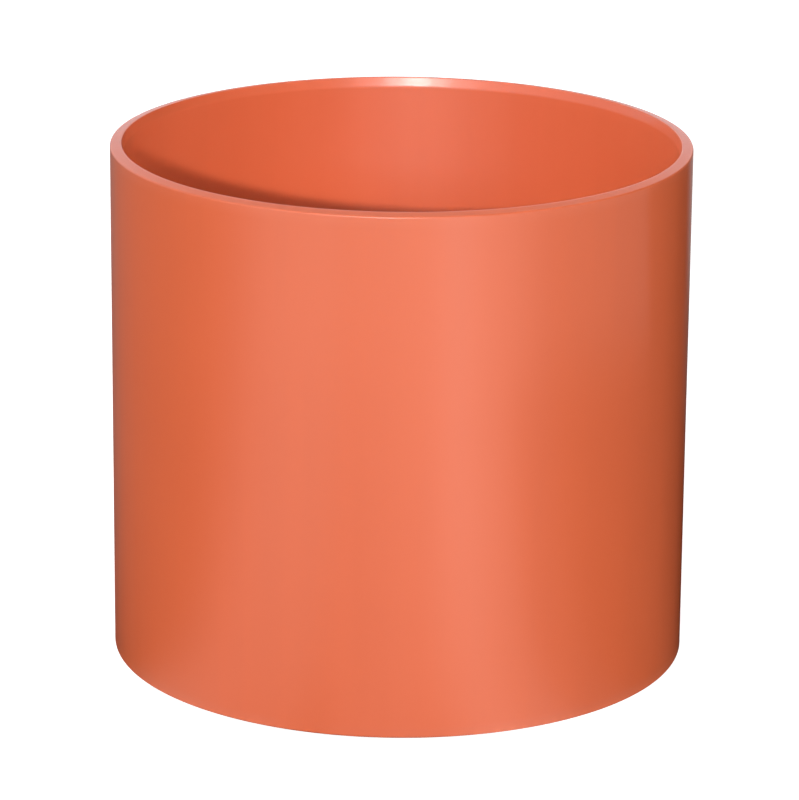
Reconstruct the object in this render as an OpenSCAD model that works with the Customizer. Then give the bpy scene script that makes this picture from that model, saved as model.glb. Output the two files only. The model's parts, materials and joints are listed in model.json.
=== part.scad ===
// Straight coupling for PVC drain pipe, moulded as one sleeve.
// Two plain sockets stand back to back on one axis, with a low ring between them
// that the pipe ends stop against. The axis is Z, and the lower rim stands on Z = 0.

/* [Sockets] */
// Outside diameter of the pipe that each socket takes
pipe_d = 110; // [50:1:315]
// Difference between the socket's bore and the pipe, left for the solvent cement
cement_gap = 0.4; // [0.1:0.1:1]
// Depth of each socket, from the rim to the stop ring
socket_depth = 50; // [30:1:120]

/* [Wall] */
// Thickness of the socket wall
wall = 2.8; // [2:0.1:8]

/* [Mouths] */
// Length of the lead-in bevel inside each mouth, along the axis
bevel_length = 1.9; // [0.5:0.1:3]
// Angle between the lead-in bevel and the axis
bevel_angle = 15; // [5:1:25]
// Width of the flat land next to each mouth, on which the sleeve can stand
rim_land = 0.4; // [0.2:0.1:1]
// Angle at which the rest of each rim falls away outwards
rim_slope = 12; // [0:1:20]
// Radius of the eased outer edge of each rim
rim_radius = 0.4; // [0.2:0.1:1.5]

/* [Stop ring] */
// Width of the stop ring, along the axis
stop_width = 5; // [2:0.5:12]
// How far the stop ring stands in from the socket wall
stop_height = 2; // [0.8:0.1:6]
// Radius of the stop ring's inner edges
stop_edge_radius = 0.6; // [0.1:0.1:0.8]
// Radius of the fillet where the stop ring meets the socket wall
stop_root_radius = 0.4; // [0.1:0.1:0.8]

/* [Hidden] */

$fn = 192;

bore_r = (pipe_d + cement_gap) / 2;
outer_r = bore_r + wall;
stop_r = bore_r - stop_height;
length = 2 * socket_depth + stop_width;

bevel_depth = bevel_length * tan(bevel_angle);
rim_width = wall - bevel_depth;
fall_width = rim_width - min(rim_land, rim_width / 2);
rim_r = min(rim_radius, fall_width);
stop_edge_r = min(stop_edge_radius, stop_height / 2, stop_width / 3);
stop_root_r = min(stop_root_radius, stop_height / 2);

// How far a cut runs past the surface that it opens
overcut = 0.5;

// What is left of a corner once a round of this radius is taken out of it.
// The round's centre is at the origin. One side of the corner faces +X, and the other
// faces -Y and rises by the slope towards the corner.
module corner_waste(radius, slope = 0) {
    corner = [radius, -radius * (1 - sin(slope)) / cos(slope)];
    difference() {
        polygon([
            [0, 0],
            (radius + overcut) * [sin(slope), -cos(slope)],
            corner + overcut * [1, -1],
            [radius + overcut, 0]
        ]);
        circle(r = radius);
    }
}

// The web of a fillet in the corner at the origin, which opens to -X, -Y.
module fillet_web(radius) {
    difference() {
        translate([-radius, -radius])
            square([radius + overcut, radius + overcut]);
        translate([-radius, -radius])
            circle(r = radius);
    }
}

// Section of the plain tube wall, from the lower rim to the upper rim.
module wall_section() {
    translate([bore_r, 0])
        square([wall, length]);
}

// Section of the lower half of the stop ring, with its edge eased and its root filleted.
module half_stop_section() {
    translate([0, socket_depth]) {
        difference() {
            translate([stop_r, 0])
                square([stop_height + wall / 2, stop_width / 2 + overcut]);
            translate([stop_r + stop_edge_r, stop_edge_r])
                mirror([1, 0])
                    corner_waste(stop_edge_r);
        }
        translate([bore_r, 0])
            fillet_web(stop_root_r);
    }
}

// What is cut from the lower mouth: the lead-in bevel, the rim's fall and the outer edge's waste.
module mouth_waste() {
    bevel_slope = tan(bevel_angle);
    fall_slope = tan(rim_slope);
    polygon([
        [bore_r - overcut * bevel_slope, bevel_length + overcut],
        [bore_r - overcut * bevel_slope, -overcut],
        [bore_r + bevel_depth + overcut * bevel_slope, -overcut]
    ]);
    translate([outer_r - fall_width, 0])
        polygon([
            [0, 0],
            [0, -overcut],
            [fall_width + overcut, -overcut],
            [fall_width + overcut, (fall_width + overcut) * fall_slope]
        ]);
    translate([outer_r - rim_r, (fall_width - rim_r) * fall_slope + rim_r / cos(rim_slope)])
        corner_waste(rim_r, rim_slope);
}

// Its children as drawn for the lower socket, and again mirrored for the upper one.
module at_both_ends() {
    children();
    translate([0, length])
        mirror([0, 1])
            children();
}

// Half section of the sleeve, in the plane of its axis.
module sleeve_section() {
    difference() {
        union() {
            wall_section();
            at_both_ends()
                half_stop_section();
        }
        at_both_ends()
            mouth_waste();
    }
}

module coupling_sleeve() {
    color("#e8764f")
        rotate_extrude()
            sleeve_section();
}

coupling_sleeve();
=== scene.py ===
"""Dresses a moulded PVC pipe coupling and sets it up for a studio picture.

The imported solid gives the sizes. One turned surface with eased edges stands for it, in a moulded
PVC finish, on a pale floor under soft lamps, seen by a camera that looks down into the upper mouth.
"""

import json
import logging
import math
from dataclasses import dataclass, field, replace
from enum import Enum
from typing import Any

import bpy
import numpy as np
from mathutils import Matrix, Vector


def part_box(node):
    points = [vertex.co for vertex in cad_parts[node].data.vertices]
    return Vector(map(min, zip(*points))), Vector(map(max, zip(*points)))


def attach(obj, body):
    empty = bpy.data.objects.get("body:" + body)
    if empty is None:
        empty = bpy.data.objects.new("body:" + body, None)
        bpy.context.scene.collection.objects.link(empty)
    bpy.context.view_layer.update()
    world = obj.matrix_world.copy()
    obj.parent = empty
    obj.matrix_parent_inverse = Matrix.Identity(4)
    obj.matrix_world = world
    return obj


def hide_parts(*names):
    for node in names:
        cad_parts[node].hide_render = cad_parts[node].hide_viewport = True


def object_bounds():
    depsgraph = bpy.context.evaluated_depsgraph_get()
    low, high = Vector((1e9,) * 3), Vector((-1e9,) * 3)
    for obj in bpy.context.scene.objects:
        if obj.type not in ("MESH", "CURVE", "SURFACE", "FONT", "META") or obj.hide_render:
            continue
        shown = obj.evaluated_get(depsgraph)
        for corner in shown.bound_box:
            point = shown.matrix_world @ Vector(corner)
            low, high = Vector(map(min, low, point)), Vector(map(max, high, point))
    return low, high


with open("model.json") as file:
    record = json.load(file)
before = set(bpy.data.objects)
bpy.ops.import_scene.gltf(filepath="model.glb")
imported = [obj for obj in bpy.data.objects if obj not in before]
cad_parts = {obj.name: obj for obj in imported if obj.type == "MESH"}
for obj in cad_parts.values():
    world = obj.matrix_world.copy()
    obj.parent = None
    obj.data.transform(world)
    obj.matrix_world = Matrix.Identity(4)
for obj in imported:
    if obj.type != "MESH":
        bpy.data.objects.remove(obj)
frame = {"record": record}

CAD_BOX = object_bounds()
MM = 0.001
FULL_TURN = 360.0
RAMP_MIDDLE = 0.5
OPAQUE = 1.0
WHITE = (1.0, 1.0, 1.0)
WEAR = "wear"
INSIDE = "inside"
LOG = logging.getLogger("pipe_coupling")

Triple = tuple[float, float, float]
Pair = tuple[float, float]
Stops = tuple[Pair, ...]
Socket = bpy.types.NodeSocket


class Face(Enum):
    """The faces of the sleeve's half section, in the order that the outline passes them."""

    OUTER_WALL = 0
    UPPER_RIM = 1
    UPPER_LAND = 2
    UPPER_BEVEL = 3
    UPPER_SOCKET = 4
    UPPER_STOP = 5
    STOP_CREST = 6
    LOWER_STOP = 7
    LOWER_SOCKET = 8
    LOWER_BEVEL = 9
    LOWER_LAND = 10
    LOWER_RIM = 11


class Lighting(Enum):
    """What a lamp lights: the body of the plastic and the floor, or only the gloss."""

    BODY = "body"
    GLOSS = "gloss"


@dataclass(frozen=True)
class Corner:
    """A corner of the half section, eased by a radius, and the face that runs on from it."""

    r: float
    z: float
    radius: float
    face: Face
    face_steps: int
    wear: float = 0.0

    def arc(self, way_in: np.ndarray, way_out: np.ndarray, steps: int) -> tuple[np.ndarray, np.ndarray]:
        """Rounds the corner off.

        The arc starts at the corner less t times the way in, where t is the radius times the tangent
        of half the turn. Its points lie a radius away from its centre, at right angles to the way in
        turned by an even share of the turn. The material is on the left of the walk, so the normal is
        on its right.

        Args:
            way_in: The unit direction of the face before the corner.
            way_out: The unit direction of the face after it.
            steps: How many parts the arc is divided into.

        Returns:
            The arc's points and their outward normals, with one row for each point.
        """
        cross = way_in[0] * way_out[1] - way_in[1] * way_out[0]
        turn = math.atan2(cross, float(way_in @ way_out))
        start = np.array([self.r, self.z]) - way_in * self.radius * math.tan(abs(turn) / 2)
        side = math.copysign(1.0, turn)
        centre = start + side * self.radius * np.array([-way_in[1], way_in[0]])
        angle = turn * np.linspace(0, 1, steps + 1)
        along = np.stack([
            way_in[0] * np.cos(angle) - way_in[1] * np.sin(angle),
            way_in[0] * np.sin(angle) + way_in[1] * np.cos(angle),
        ], axis=1)
        outward = np.stack([along[:, 1], -along[:, 0]], axis=1)
        return centre + side * self.radius * outward, outward


@dataclass(frozen=True)
class Outline:
    """Points along a closed half section, with the outward normal, face and wear of each."""

    points: np.ndarray
    normals: np.ndarray
    faces: np.ndarray
    wear: np.ndarray

    @classmethod
    def eased(cls, corners: list[Corner], arc_steps: int) -> "Outline":
        """Walks round the corners, with an arc at each one and a straight face between two.

        A point of a straight face is a blend of the arc's last point and the next arc's first one, by
        even shares.

        Args:
            corners: The corners, anticlockwise, with the axis on the left.
            arc_steps: How many parts each arc is divided into.

        Returns:
            The outline, as arrays with one row for each point.
        """
        places = np.array([(corner.r, corner.z) for corner in corners])
        ways = np.roll(places, -1, 0) - places
        ways /= np.linalg.norm(ways, axis=1, keepdims=True)
        arcs = [corner.arc(way_in, way_out, arc_steps)
                for corner, way_in, way_out in zip(corners, np.roll(ways, 1, 0), ways)]
        points, normals, faces, wear = [], [], [], []
        for corner, (bend, outward), (next_bend, _) in zip(corners, arcs, arcs[1:] + arcs[:1]):
            share = np.linspace(0, 1, corner.face_steps + 1)[1:-1, None]
            straight = bend[-1] * (1 - share) + next_bend[0] * share
            points += [bend, straight]
            normals += [outward, np.broadcast_to(outward[-1], straight.shape)]
            faces.append(np.full(len(bend) + len(straight), corner.face.value))
            wear += [np.full(len(bend), corner.wear), np.zeros(len(straight))]
        return cls(*(np.concatenate(part) for part in (points, normals, faces, wear)))


class NodeTree:
    """Adds nodes to a material's or a world's tree, with their inputs set or linked by name."""

    def __init__(self, tree: bpy.types.NodeTree) -> None:
        """Empties the tree.

        Args:
            tree: The tree that the nodes go into.
        """
        self.tree = tree
        self.tree.nodes.clear()

    def feed(self, socket: Socket, value: Any) -> None:
        """Links an input from another node's socket, or sets it to a value.

        Args:
            socket: The input.
            value: The value, or the socket to link from.
        """
        if isinstance(value, Socket):
            self.tree.links.new(value, socket)
        else:
            socket.default_value = value

    def add(self, kind: str, inputs: dict[Any, Any] | None = None, **settings: Any) -> bpy.types.Node:
        """Adds one node.

        Args:
            kind: The node's type name.
            inputs: Values, or sockets to link from, by the input's name or number.
            settings: Values for the node's own properties.

        Returns:
            The new node.
        """
        node = self.tree.nodes.new(kind)
        for name, value in settings.items():
            setattr(node, name, value)
        for name, value in (inputs or {}).items():
            self.feed(node.inputs[name], value)
        return node

    def maths(self, operation: str, *values: Any) -> Socket:
        """Adds a Math node.

        Args:
            operation: The operation's name.
            values: Its numbers, or sockets to link from.

        Returns:
            The node's output.
        """
        return self.add("ShaderNodeMath", dict(enumerate(values)), operation=operation).outputs[0]

    def spread(self, value: Socket, low: float, high: float,
               to_low: float = 0.0, to_high: float = 1.0) -> Socket:
        """Adds a smooth Map Range node, which turns low to high into to_low to to_high.

        Args:
            value: The socket to read.
            low: The value that becomes to_low.
            high: The value that becomes to_high.
            to_low: The result at low.
            to_high: The result at high.

        Returns:
            The node's output.
        """
        inputs = {"Value": value, "From Min": low, "From Max": high, "To Min": to_low, "To Max": to_high}
        return self.add("ShaderNodeMapRange", inputs, interpolation_type="SMOOTHSTEP").outputs[0]

    def noise(self, vector: Socket, scale: float, detail: float) -> Socket:
        """Adds a Noise Texture, whose values lie round 0.5.

        Args:
            vector: The coordinates to read.
            scale: Waves per unit of the coordinates.
            detail: How many finer layers are added.

        Returns:
            The node's value output.
        """
        inputs = {"Vector": vector, "Scale": scale, "Detail": detail}
        return self.add("ShaderNodeTexNoise", inputs).outputs[0]

    def stretched(self, vector: Socket, scale: Triple) -> Socket:
        """Adds a Mapping node that scales the coordinates by a factor for each axis."""
        return self.add("ShaderNodeMapping", {"Vector": vector, "Scale": scale}).outputs[0]

    def blend(self, share: Any, first: Any, second: Any) -> Socket:
        """Adds a colour Mix node.

        Args:
            share: How much of the second colour is taken.
            first: A colour, or a socket to link from.
            second: A colour, or a socket to link from.

        Returns:
            The node's colour output.
        """
        node = self.add("ShaderNodeMix", data_type="RGBA")
        sockets = [socket for socket in node.inputs if socket.enabled]
        for socket, value in zip(sockets, (share, first, second)):
            self.feed(socket, (*value, OPAQUE) if isinstance(value, tuple) else value)
        return next(socket for socket in node.outputs if socket.enabled)

    def ramp(self, value: Socket, stops: Stops) -> Socket:
        """Adds a Color Ramp of greys, eased from stop to stop.

        Args:
            value: The socket to read, from 0 to 1.
            stops: A place between 0 and 1 and a grey level for each stop.

        Returns:
            The node's colour output.
        """
        node = self.add("ShaderNodeValToRGB", {"Fac": value})
        node.color_ramp.interpolation = "EASE"
        elements = node.color_ramp.elements
        elements.remove(elements[-1])
        for number, (place, level) in enumerate(stops):
            element = elements.new(place) if number else elements[0]
            element.position = place
            element.color = (level, level, level, OPAQUE)
        return node.outputs["Color"]

    def sight(self) -> tuple[Socket, Socket]:
        """Adds a Light Path, which tells what looks at the surface.

        Returns:
            A socket that is 1 for the eye, also through glass, and one that is 1 for a reflection.
        """
        path = self.add("ShaderNodeLightPath").outputs
        eye = self.maths("MAXIMUM", path["Is Camera Ray"], path["Is Transmission Ray"])
        return eye, path["Is Glossy Ray"]


@dataclass(frozen=True)
class MouldedPvc:
    """Rigid orange-brown PVC as it leaves the mould: smooth and softly glossy, a little uneven."""

    name: str = "moulded_pvc"
    outer_deep: Triple = (0.722, 0.132, 0.041)
    outer_pale: Triple = (0.744, 0.138, 0.043)
    # The bore's two tones are paler than the outside's: a painted sheen for the light on the inner wall.
    inner_deep: Triple = (0.745, 0.140, 0.052)
    inner_pale: Triple = (0.767, 0.147, 0.055)
    rubbed: Triple = (0.800, 0.200, 0.100)
    rubbed_most: float = 0.5
    refraction: float = 1.53
    body_roughness: float = 0.35
    haze_roughness: Pair = (0.48, 0.52)
    haze_level: float = 1.0
    gloss_weight: float = 0.7
    gloss_roughness: float = 0.15
    cloud_scale: float = 24.0
    cloud_detail: float = 3.0
    streak_stretch: Triple = (260.0, 260.0, 7.0)
    streak_scale: float = 1.0
    streak_detail: float = 3.0
    streak_share: float = 0.4
    streak_height: float = 0.0006 * MM
    peel_scale: float = 420.0
    peel_detail: float = 2.0
    peel_height: float = 0.0008 * MM
    tone_range: Pair = (0.35, 0.65)
    swing_range: Pair = (0.3, 0.7)

    def colour(self, tree: NodeTree, cloud: Socket, streak: Socket) -> Socket:
        """Mixes the plastic's colour.

        Clouds and lengthwise flow streaks move it between two tones, the bore is painted a little paler
        than the outside as a painted sheen for the light on its inner wall, and the worn edges are rubbed
        paler still, in patches.

        Args:
            tree: The material's tree.
            cloud: The noise of the clouds.
            streak: The noise of the streaks.

        Returns:
            The colour's socket.
        """
        wear = tree.add("ShaderNodeAttribute", attribute_name=WEAR).outputs["Fac"]
        inside = tree.add("ShaderNodeAttribute", attribute_name=INSIDE).outputs["Fac"]
        mix = tree.add("ShaderNodeMix", {"Factor": self.streak_share, "A": cloud, "B": streak})
        tone = tree.spread(mix.outputs[0], *self.tone_range)
        patches = tree.spread(cloud, *self.swing_range, to_high=self.rubbed_most)
        worn = tree.maths("MULTIPLY", wear, patches)
        outer = tree.blend(tone, self.outer_deep, self.outer_pale)
        # The inside faces take the paler tones: painted sheen on the bore.
        inner = tree.blend(tone, self.inner_deep, self.inner_pale)
        return tree.blend(worn, tree.blend(inside, outer, inner), self.rubbed)

    def relief(self, tree: NodeTree, peel: Socket, streak: Socket) -> Socket:
        """Raises the fine peel of the moulded skin, and the flow streaks over it.

        Args:
            tree: The material's tree.
            peel: The noise of the peel.
            streak: The noise of the streaks.

        Returns:
            The normal's socket.
        """
        fine = tree.add("ShaderNodeBump", {"Height": peel, "Distance": self.peel_height}).outputs[0]
        flow = {"Height": streak, "Distance": self.streak_height, "Normal": fine}
        return tree.add("ShaderNodeBump", flow).outputs[0]

    def material(self) -> bpy.types.Material:
        """Builds the material.

        The plastic's body reflects with a wide haze, a little uneven along the streaks, and its
        moulded skin with a sharper gloss over that.

        Returns:
            The new material.
        """
        made = bpy.data.materials.new(self.name)
        made.use_nodes = True
        tree = NodeTree(made.node_tree)
        place = tree.add("ShaderNodeTexCoord").outputs["Object"]
        cloud = tree.noise(place, self.cloud_scale, self.cloud_detail)
        lengthwise = tree.stretched(place, self.streak_stretch)
        streak = tree.noise(lengthwise, self.streak_scale, self.streak_detail)
        peel = tree.noise(place, self.peel_scale, self.peel_detail)
        normal = self.relief(tree, peel, streak)
        shader = tree.add("ShaderNodeBsdfPrincipled", {
            "Base Color": self.colour(tree, cloud, streak),
            "Diffuse Roughness": self.body_roughness,
            "Roughness": tree.spread(streak, *self.swing_range, *self.haze_roughness),
            "IOR": self.refraction,
            "Specular IOR Level": self.haze_level,
            "Normal": normal,
            "Coat Weight": self.gloss_weight,
            "Coat Roughness": self.gloss_roughness,
            "Coat IOR": self.refraction,
            "Coat Normal": normal,
        })
        tree.add("ShaderNodeOutputMaterial", {"Surface": shader.outputs[0]})
        return made


@dataclass
class CouplingSleeve:
    """The sleeve: two plain sockets back to back on the Z axis, with a stop ring between them."""

    node: str = "coupling_sleeve"
    piece_name: str = "coupling_sleeve_skin"
    slot: str = "pvc"
    bore_mount: str = "upper_socket"
    finish: MouldedPvc = field(default_factory=MouldedPvc)
    bevel_length: float = 1.9 * MM
    bevel_angle: float = math.radians(15)
    bevel_foot_radius: float = 2.5 * MM
    mouth_edge_radius: float = 0.15 * MM
    rim_land: float = 0.4 * MM
    rim_slope: float = math.radians(12)
    rim_radius: float = 0.4 * MM
    land_edge_radius: float = 0.3 * MM
    stop_width: float = 5.0 * MM
    stop_height: float = 2.0 * MM
    stop_edge_radius: float = 0.6 * MM
    stop_root_radius: float = 0.4 * MM
    edge_wear: float = 1.0
    lip_wear: float = 0.4
    wave_height: float = 0.012 * MM
    wave_middle: float = 0.5
    wave_counts: Pair = (5.0, 9.0)
    wave_phases: Pair = (0.7, 2.1)
    wave_shares: Pair = (0.3, 0.2)
    turns: int = 384
    arc_steps: int = 8
    wall_steps: int = 48
    socket_steps: int = 24
    face_steps: int = 4

    def outline(self) -> Outline:
        """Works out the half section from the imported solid's box and its socket mount.

        Returns:
            The eased outline, anticlockwise, in metres.
        """
        low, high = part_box(self.node)
        outer = min(-low.x, -low.y, high.x, high.y)
        mount = next(m for m in frame["record"]["mounts"] if m["name"] == self.bore_mount)
        bore = mount["dims"]["r_mm"] * MM
        base, top = low.z, high.z
        mouth = bore + self.bevel_length * math.tan(self.bevel_angle)
        land = mouth + self.rim_land
        fall = (outer - land) * math.tan(self.rim_slope)
        middle = (base + top) / 2
        shelf, crest = self.stop_width / 2, bore - self.stop_height
        root, lip, foot = self.stop_root_radius, self.stop_edge_radius, self.bevel_foot_radius
        edge, soft, rim = self.mouth_edge_radius, self.land_edge_radius, self.rim_radius
        few = self.face_steps
        return Outline.eased([
            Corner(outer, base + fall, rim, Face.OUTER_WALL, self.wall_steps, self.edge_wear),
            Corner(outer, top - fall, rim, Face.UPPER_RIM, few, self.edge_wear),
            Corner(land, top, soft, Face.UPPER_LAND, few),
            Corner(mouth, top, edge, Face.UPPER_BEVEL, few, self.edge_wear),
            Corner(bore, top - self.bevel_length, foot, Face.UPPER_SOCKET, self.socket_steps),
            Corner(bore, middle + shelf, root, Face.UPPER_STOP, few),
            Corner(crest, middle + shelf, lip, Face.STOP_CREST, few, self.lip_wear),
            Corner(crest, middle - shelf, lip, Face.LOWER_STOP, few, self.lip_wear),
            Corner(bore, middle - shelf, root, Face.LOWER_SOCKET, self.socket_steps),
            Corner(bore, base + self.bevel_length, foot, Face.LOWER_BEVEL, few),
            Corner(mouth, base, edge, Face.LOWER_LAND, few, self.edge_wear),
            Corner(land, base, soft, Face.LOWER_RIM, few),
        ], self.arc_steps)

    def wave(self, line: Outline, turn: np.ndarray) -> tuple[np.ndarray, np.ndarray, np.ndarray]:
        """Works out the shallow wave of the outer wall.

        Its depth is the wave's height, times the square of the sine of the way up the wall, times a
        sum of slow cosines round the sleeve. Every other face has none.

        Args:
            line: The half section.
            turn: The angles that the section is turned to.

        Returns:
            The depth, and its slopes round and up the sleeve, with a row for each point of the section
            and a column for each angle.
        """
        z = line.points[:, 1:]
        span = np.ptp(z)
        wall = ((line.faces == Face.OUTER_WALL.value) & (line.wear == 0.0))[:, None]
        fade = self.wave_height * np.where(wall, np.sin(np.pi * z / span) ** 2, 0.0)
        fade_slope = self.wave_height * np.where(wall, np.pi / span * np.sin(2 * np.pi * z / span), 0.0)
        count, phase, share = (np.array(part)[:, None]
                               for part in (self.wave_counts, self.wave_phases, self.wave_shares))
        swell = self.wave_middle + (share * np.cos(count * turn + phase)).sum(0)
        swell_slope = -(share * count * np.sin(count * turn + phase)).sum(0)
        return fade * swell, fade * swell_slope, fade_slope * swell

    def quads(self, rows: int) -> np.ndarray:
        """Joins each point to the next ones along the section and round the turn, both of them closed.

        Args:
            rows: How many points the section has.

        Returns:
            The point numbers of each face, one row for each.
        """
        row, column = np.meshgrid(np.arange(rows), np.arange(self.turns), indexing="ij")
        next_row, next_column = (row + 1) % rows, (column + 1) % self.turns
        pairs = ((row, column), (row, next_column), (next_row, next_column), (next_row, column))
        return np.stack([r * self.turns + c for r, c in pairs], axis=-1).reshape(-1, len(pairs))

    def unwrapped(self, line: Outline) -> np.ndarray:
        """Lays the surface flat, with its share of the turn across and of the way round the section along.

        Args:
            line: The half section.

        Returns:
            The flat places of each face's corners, as one row of numbers.
        """
        row, column = np.meshgrid(np.arange(len(line.points)), np.arange(self.turns), indexing="ij")
        steps = np.linalg.norm(np.roll(line.points, -1, 0) - line.points, axis=1)
        length = np.concatenate([[0.0], np.cumsum(steps)])
        across, along = np.arange(self.turns + 1) / self.turns, length / length[-1]
        pairs = ((row, column), (row, column + 1), (row + 1, column + 1), (row + 1, column))
        return np.stack([np.stack([across[c], along[r]], -1) for r, c in pairs], axis=2).reshape(-1)

    def mesh(self) -> bpy.types.Mesh:
        """Turns the outline about Z.

        A point is its radius times the cosine and the sine of the turn, and its height. The outer wall
        is drawn in by the depth of its wave, and its normals lean with the slopes of the wave.

        Returns:
            The closed mesh, with its own UV map, normals, wear and inside shares.
        """
        line = self.outline()
        turn = np.linspace(0, 2 * np.pi, self.turns, endpoint=False)
        depth, round_slope, up_slope = self.wave(line, turn)
        cos, sin = np.cos(turn), np.sin(turn)
        r, z = line.points[:, :1], line.points[:, 1:]
        out, up = line.normals[:, :1], line.normals[:, 1:] + up_slope
        radius, lean = r - depth, round_slope / r
        places = np.stack([radius * cos, radius * sin, np.broadcast_to(z, radius.shape)], axis=-1)
        normals = np.stack([out * cos - lean * sin, out * sin + lean * cos, up], axis=-1)
        normals /= np.linalg.norm(normals, axis=-1, keepdims=True)

        quads = self.quads(len(line.points))
        mesh = bpy.data.meshes.new(self.piece_name)
        mesh.from_pydata(places.reshape(-1, 3), [], quads)
        mesh.polygons.foreach_set("use_smooth", np.ones(len(quads), bool))
        mesh.uv_layers.new(name="turned").data.foreach_set("uv", self.unwrapped(line))
        # The inside share marks the faces that take the bore's painted paler sheen.
        inside = (line.faces >= Face.UPPER_BEVEL.value) & (line.faces <= Face.LOWER_BEVEL.value)
        for name, share in ((WEAR, line.wear), (INSIDE, inside)):
            values = np.repeat(share.astype(np.float32), self.turns)
            mesh.attributes.new(name, "FLOAT", "POINT").data.foreach_set("value", values)
        mesh.update()
        mesh.normals_split_custom_set_from_vertices(normals.reshape(-1, 3))
        return mesh

    def build(self) -> bpy.types.Object:
        """Makes the piece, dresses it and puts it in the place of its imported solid.

        Returns:
            The new object.
        """
        piece = bpy.data.objects.new(self.piece_name, self.mesh())
        bpy.context.scene.collection.objects.link(piece)
        piece.data.materials.append(self.finish.material())
        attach(piece, "root")
        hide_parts(self.node)
        return piece


@dataclass
class StudioFloor:
    """A pale table top: white to the eye with a soft shadow, and painted pools of light, a painted
    reflection, to the gloss.

    A stop of a sheen is a bearing in degrees and a grey level. A bearing of 0 is the camera's side,
    and a positive one is to its right.
    """

    name: str = "studio_floor"
    half_width: float = 4.0
    paper: Triple = (0.62, 0.62, 0.62)
    paper_glow: float = 0.87
    bounce: Triple = (0.25, 0.25, 0.25)
    # The sheen stops paint the light that reflections show on the sleeve: a painted reflection, not lamps.
    near_sheen: Stops = (
        (-180, 0.15), (-150, 0.12), (-75, 0.04), (-45, 0.70), (-30, 0.55), (-16, 0.05),
        (-4, 0.10), (4, 0.30), (22, 1.45), (32, 1.05), (46, 0.30), (65, 0.02),
        (115, 0.00), (135, 0.00), (155, 0.10), (180, 0.12),
    )
    far_sheen: Stops = (
        (-180, 0.60), (-165, 0.20), (-140, 0.14), (-75, 0.06), (-45, 0.80), (-30, 0.65),
        (-16, 0.10), (-4, 0.15), (4, 0.40), (22, 1.60), (36, 1.20), (60, 0.55),
        (104, 0.38), (108, 0.00), (144, 0.00), (156, 0.32), (166, 0.65), (180, 0.60),
    )
    sheen_reach: Pair = (0.25, 0.33)
    # Painted shade in the reflection: near the sleeve's foot the sheen falls to the foot's shade level.
    foot_shade_reach: Pair = (0.06, 0.20)
    foot_shade_level: float = 0.7

    def sheen(self, tree: NodeTree) -> Socket:
        """Works out what the gloss sees, a painted reflection: a grey by bearing and distance, with painted
        shade by the sleeve's foot.

        Args:
            tree: The floor's tree.

        Returns:
            The grey's socket.
        """
        place = tree.add("ShaderNodeTexCoord").outputs["Object"]
        away = tree.add("ShaderNodeVectorMath", {0: place}, operation="LENGTH").outputs["Value"]
        axes = tree.add("ShaderNodeSeparateXYZ", {0: place}).outputs
        turn = tree.maths("ARCTAN2", axes["X"], tree.maths("MULTIPLY", axes["Y"], -1.0))
        share = tree.maths("MULTIPLY_ADD", turn, 1 / math.tau, RAMP_MIDDLE)
        near, far = (
            tree.ramp(share, tuple((bearing / FULL_TURN + RAMP_MIDDLE, level) for bearing, level in stops))
            for stops in (self.near_sheen, self.far_sheen)
        )
        grey = tree.blend(tree.spread(away, *self.sheen_reach), near, far)
        # The sheen is dimmed near the foot as painted shade.
        return tree.maths("MULTIPLY", grey, tree.spread(away, *self.foot_shade_reach, to_low=self.foot_shade_level))

    def material(self) -> bpy.types.Material:
        """Builds the floor's material.

        The eye sees glowing white paper that takes a shadow, the sleeve gets a grey bounce from it, and
        the gloss sees the sheen alone, a painted reflection.

        Returns:
            The new material.
        """
        made = bpy.data.materials.new(self.name)
        made.use_nodes = True
        tree = NodeTree(made.node_tree)
        eye, gloss = tree.sight()
        cover = tree.add("ShaderNodeBsdfDiffuse", {"Color": tree.blend(eye, self.bounce, self.paper)})
        glow = tree.add("ShaderNodeEmission", {"Strength": tree.maths("MULTIPLY", eye, self.paper_glow)})
        paper = tree.add("ShaderNodeAddShader", {0: cover.outputs[0], 1: glow.outputs[0]})
        # Painted reflection: the floor glows with the sheen for reflections only.
        sheen = tree.add("ShaderNodeEmission", {"Strength": self.sheen(tree)})
        either = tree.add("ShaderNodeMixShader", {0: gloss, 1: paper.outputs[0], 2: sheen.outputs[0]})
        tree.add("ShaderNodeOutputMaterial", {"Surface": either.outputs[0]})
        return made

    def build(self) -> bpy.types.Object:
        """Lays the floor, a flat square, at the height of the sleeve's lower rim.

        Returns:
            The floor object.
        """
        across = np.array([-1.0, 1.0]) * self.half_width
        x, y = np.meshgrid(across, across)
        places = np.stack([x, y, np.full_like(x, CAD_BOX[0].z)], -1).reshape(-1, 3)
        mesh = bpy.data.meshes.new(self.name)
        mesh.from_pydata(places, [], [(0, 1, 3, 2)])
        floor = bpy.data.objects.new(self.name, mesh)
        bpy.context.scene.collection.objects.link(floor)
        floor.data.materials.append(self.material())
        return floor


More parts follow.
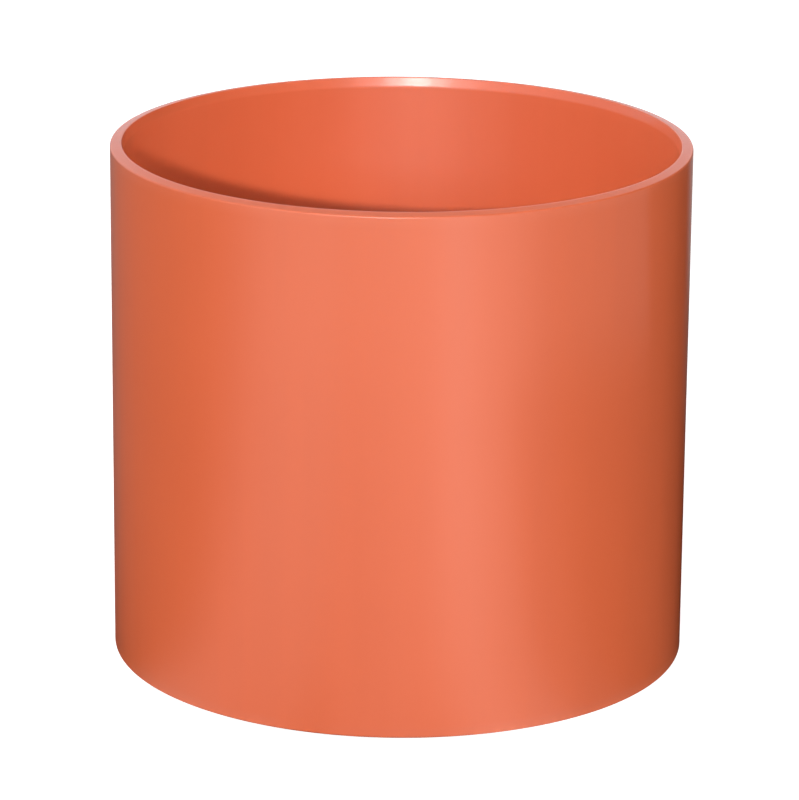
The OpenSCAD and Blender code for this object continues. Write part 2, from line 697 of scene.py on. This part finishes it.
@dataclass(frozen=True)
class SoftBox:
    """A rectangular lamp that is aimed at a point, placed by its bearing as seen from that point.

    Azimuth 0 is the camera's side, and a positive one is to its right.
    """

    name: str
    azimuth: float
    elevation: float
    distance: float
    width: float
    height: float
    level: float
    lights: Lighting = Lighting.BODY

    def build(self, aim: Vector) -> bpy.types.Object:
        """Makes the lamp.

        A surface at the aim that faces the lamp and reflects all light renders at the level, so the
        power is the level times the square of pi times the distance squared.

        Args:
            aim: The point that the lamp faces.

        Returns:
            The lamp object.
        """
        bearing, lift = math.radians(self.azimuth), math.radians(self.elevation)
        flat = math.cos(lift)
        back = Vector((math.sin(bearing) * flat, -math.cos(bearing) * flat, math.sin(lift)))
        data = bpy.data.lights.new(self.name, "AREA")
        data.shape = "RECTANGLE"
        data.size, data.size_y = self.width, self.height
        data.energy = self.level * math.pi ** 2 * self.distance ** 2
        lamp = bpy.data.objects.new(self.name, data)
        lamp.location = aim + back * self.distance
        lamp.rotation_euler = back.to_track_quat("Z", "Y").to_euler()
        lamp.visible_camera = False
        lamp.visible_diffuse = self.lights is Lighting.BODY
        lamp.visible_glossy = self.lights is Lighting.GLOSS
        bpy.context.scene.collection.objects.link(lamp)
        return lamp


@dataclass
class Studio:
    """The surroundings: the world's faint light and backdrop, the lamps and the camera.

    A panel is its name, its width and its level. The panels hang where the key lamp does, for the
    gloss alone: narrow on wide, they give the bevel a highlight that fades out to its sides.
    """

    ambient: Triple = (0.01, 0.01, 0.01)
    ambient_top: Triple = (0.02, 0.02, 0.02)
    ambient_fade: Pair = (0.0, 1.0)
    # The backdrop is seen by reflections alone: a painted reflection, dimmer upwards and dark to the right.
    backdrop: Triple = (0.84, 0.82, 0.88)
    backdrop_top: Triple = (0.34, 0.33, 0.35)
    backdrop_fade: Pair = (0.30, 0.64)
    backdrop_right: Triple = (0.01, 0.01, 0.01)
    backdrop_edge: Pair = (0.22, 0.46)
    key_lamp: SoftBox = SoftBox("key_lamp", azimuth=-6.45, elevation=14.15, distance=2.6,
                                width=0.26, height=0.04, level=0.71)
    panels: tuple[tuple[str, float, float], ...] = (
        ("core_panel", 0.46, 0.26), ("middle_panel", 1.2, 0.255), ("wide_panel", 2.4, 0.076),
    )
    panel_height: float = 0.45
    fill_lamps: tuple[SoftBox, ...] = (
        SoftBox("high_lamp", azimuth=0.0, elevation=85.0, distance=4.0,
                width=1.6, height=1.6, level=0.08),
        SoftBox("left_lamp", azimuth=-50.0, elevation=40.0, distance=4.0,
                width=1.6, height=1.6, level=0.335),
        SoftBox("right_lamp", azimuth=60.0, elevation=30.0, distance=4.0,
                width=1.6, height=1.6, level=0.39),
        SoftBox("left_side_lamp", azimuth=-90.0, elevation=2.0, distance=2.0,
                width=1.0, height=0.25, level=0.07),
        SoftBox("back_lamp", azimuth=180.0, elevation=3.0, distance=4.0,
                width=1.6, height=0.4, level=1.1),
    )
    eye_distance: float = 0.900
    eye_elevation: float = math.radians(17.1)
    camera_pitch: float = math.radians(17.195)
    camera_roll: float = math.radians(0.506)
    focal_px: float = 4445.0
    frame_px: float = 800.0
    sensor: float = 36.0

    def light_world(self) -> None:
        """Gives the world a faint grey light, brighter from above.

        The eye sees it white, and the gloss sees a backdrop, a painted reflection that fades upwards and
        ends to the right in painted dark.
        """
        world = bpy.data.worlds.new("studio_world")
        world.use_nodes = True
        tree = NodeTree(world.node_tree)
        eye, gloss = tree.sight()
        way = tree.add("ShaderNodeTexCoord").outputs["Generated"]
        axes = tree.add("ShaderNodeSeparateXYZ", {0: way}).outputs
        soft = tree.blend(tree.spread(axes["Z"], *self.ambient_fade), self.ambient, self.ambient_top)
        # Painted reflection for the gloss: the backdrop, dimmer upwards and dark to the right.
        wall = tree.blend(tree.spread(axes["Z"], *self.backdrop_fade), self.backdrop, self.backdrop_top)
        wall = tree.blend(tree.spread(axes["X"], *self.backdrop_edge), wall, self.backdrop_right)
        colour = tree.blend(eye, tree.blend(gloss, soft, wall), WHITE)
        light = tree.add("ShaderNodeBackground", {"Color": colour})
        tree.add("ShaderNodeOutputWorld", {"Surface": light.outputs[0]})
        bpy.context.scene.world = world

    def hang_lamps(self) -> list[bpy.types.Object]:
        """Hangs the lamps and the panels, all aimed at the middle of the upper mouth.

        Returns:
            The lamp objects.
        """
        mouth = Vector((0.0, 0.0, CAD_BOX[1].z))
        panel = replace(self.key_lamp, height=self.panel_height, lights=Lighting.GLOSS)
        panels = [replace(panel, name=name, width=width, level=level) for name, width, level in self.panels]
        return [lamp.build(mouth) for lamp in (self.key_lamp, *panels, *self.fill_lamps)]

    def aim_camera(self) -> bpy.types.Object:
        """Sets the camera in front of the sleeve, looking down into the upper mouth.

        Returns:
            The camera object.
        """
        middle = (CAD_BOX[0].z + CAD_BOX[1].z) / 2
        forward = Vector((0.0, math.cos(self.camera_pitch), -math.sin(self.camera_pitch)))
        level = Vector((1.0, 0.0, 0.0))
        upright = level.cross(forward)
        right = math.cos(self.camera_roll) * level + math.sin(self.camera_roll) * upright
        up = math.cos(self.camera_roll) * upright - math.sin(self.camera_roll) * level
        data = bpy.data.cameras.new("studio_camera")
        data.sensor_width = self.sensor
        data.lens = self.focal_px / self.frame_px * self.sensor
        camera = bpy.data.objects.new("studio_camera", data)
        turned = Matrix((right, up, -forward)).transposed()
        eye = Vector((
            0.0,
            -self.eye_distance * math.cos(self.eye_elevation),
            middle + self.eye_distance * math.sin(self.eye_elevation),
        ))
        camera.matrix_world = Matrix.Translation(eye) @ turned.to_4x4()
        bpy.context.scene.collection.objects.link(camera)
        bpy.context.scene.camera = camera
        return camera

    def build(self) -> None:
        """Lights the scene, aims the camera and keeps colours as they are written."""
        bpy.context.scene.view_settings.view_transform = "Standard"
        self.light_world()
        for lamp in self.hang_lamps():
            LOG.info("lamp %s at %s", lamp.name, tuple(round(v, 3) for v in lamp.location))
        LOG.info("camera with a lens of %.1f mm", self.aim_camera().data.lens)


def main() -> None:
    """Builds the sleeve, the floor and the studio, and reports each piece."""
    logging.basicConfig(level=logging.INFO, format="%(name)s: %(message)s")
    for part in (CouplingSleeve(), StudioFloor()):
        piece = part.build()
        LOG.info("%s: %d faces", piece.name, len(piece.data.polygons))
    Studio().build()


if __name__ == "__main__":
    main()
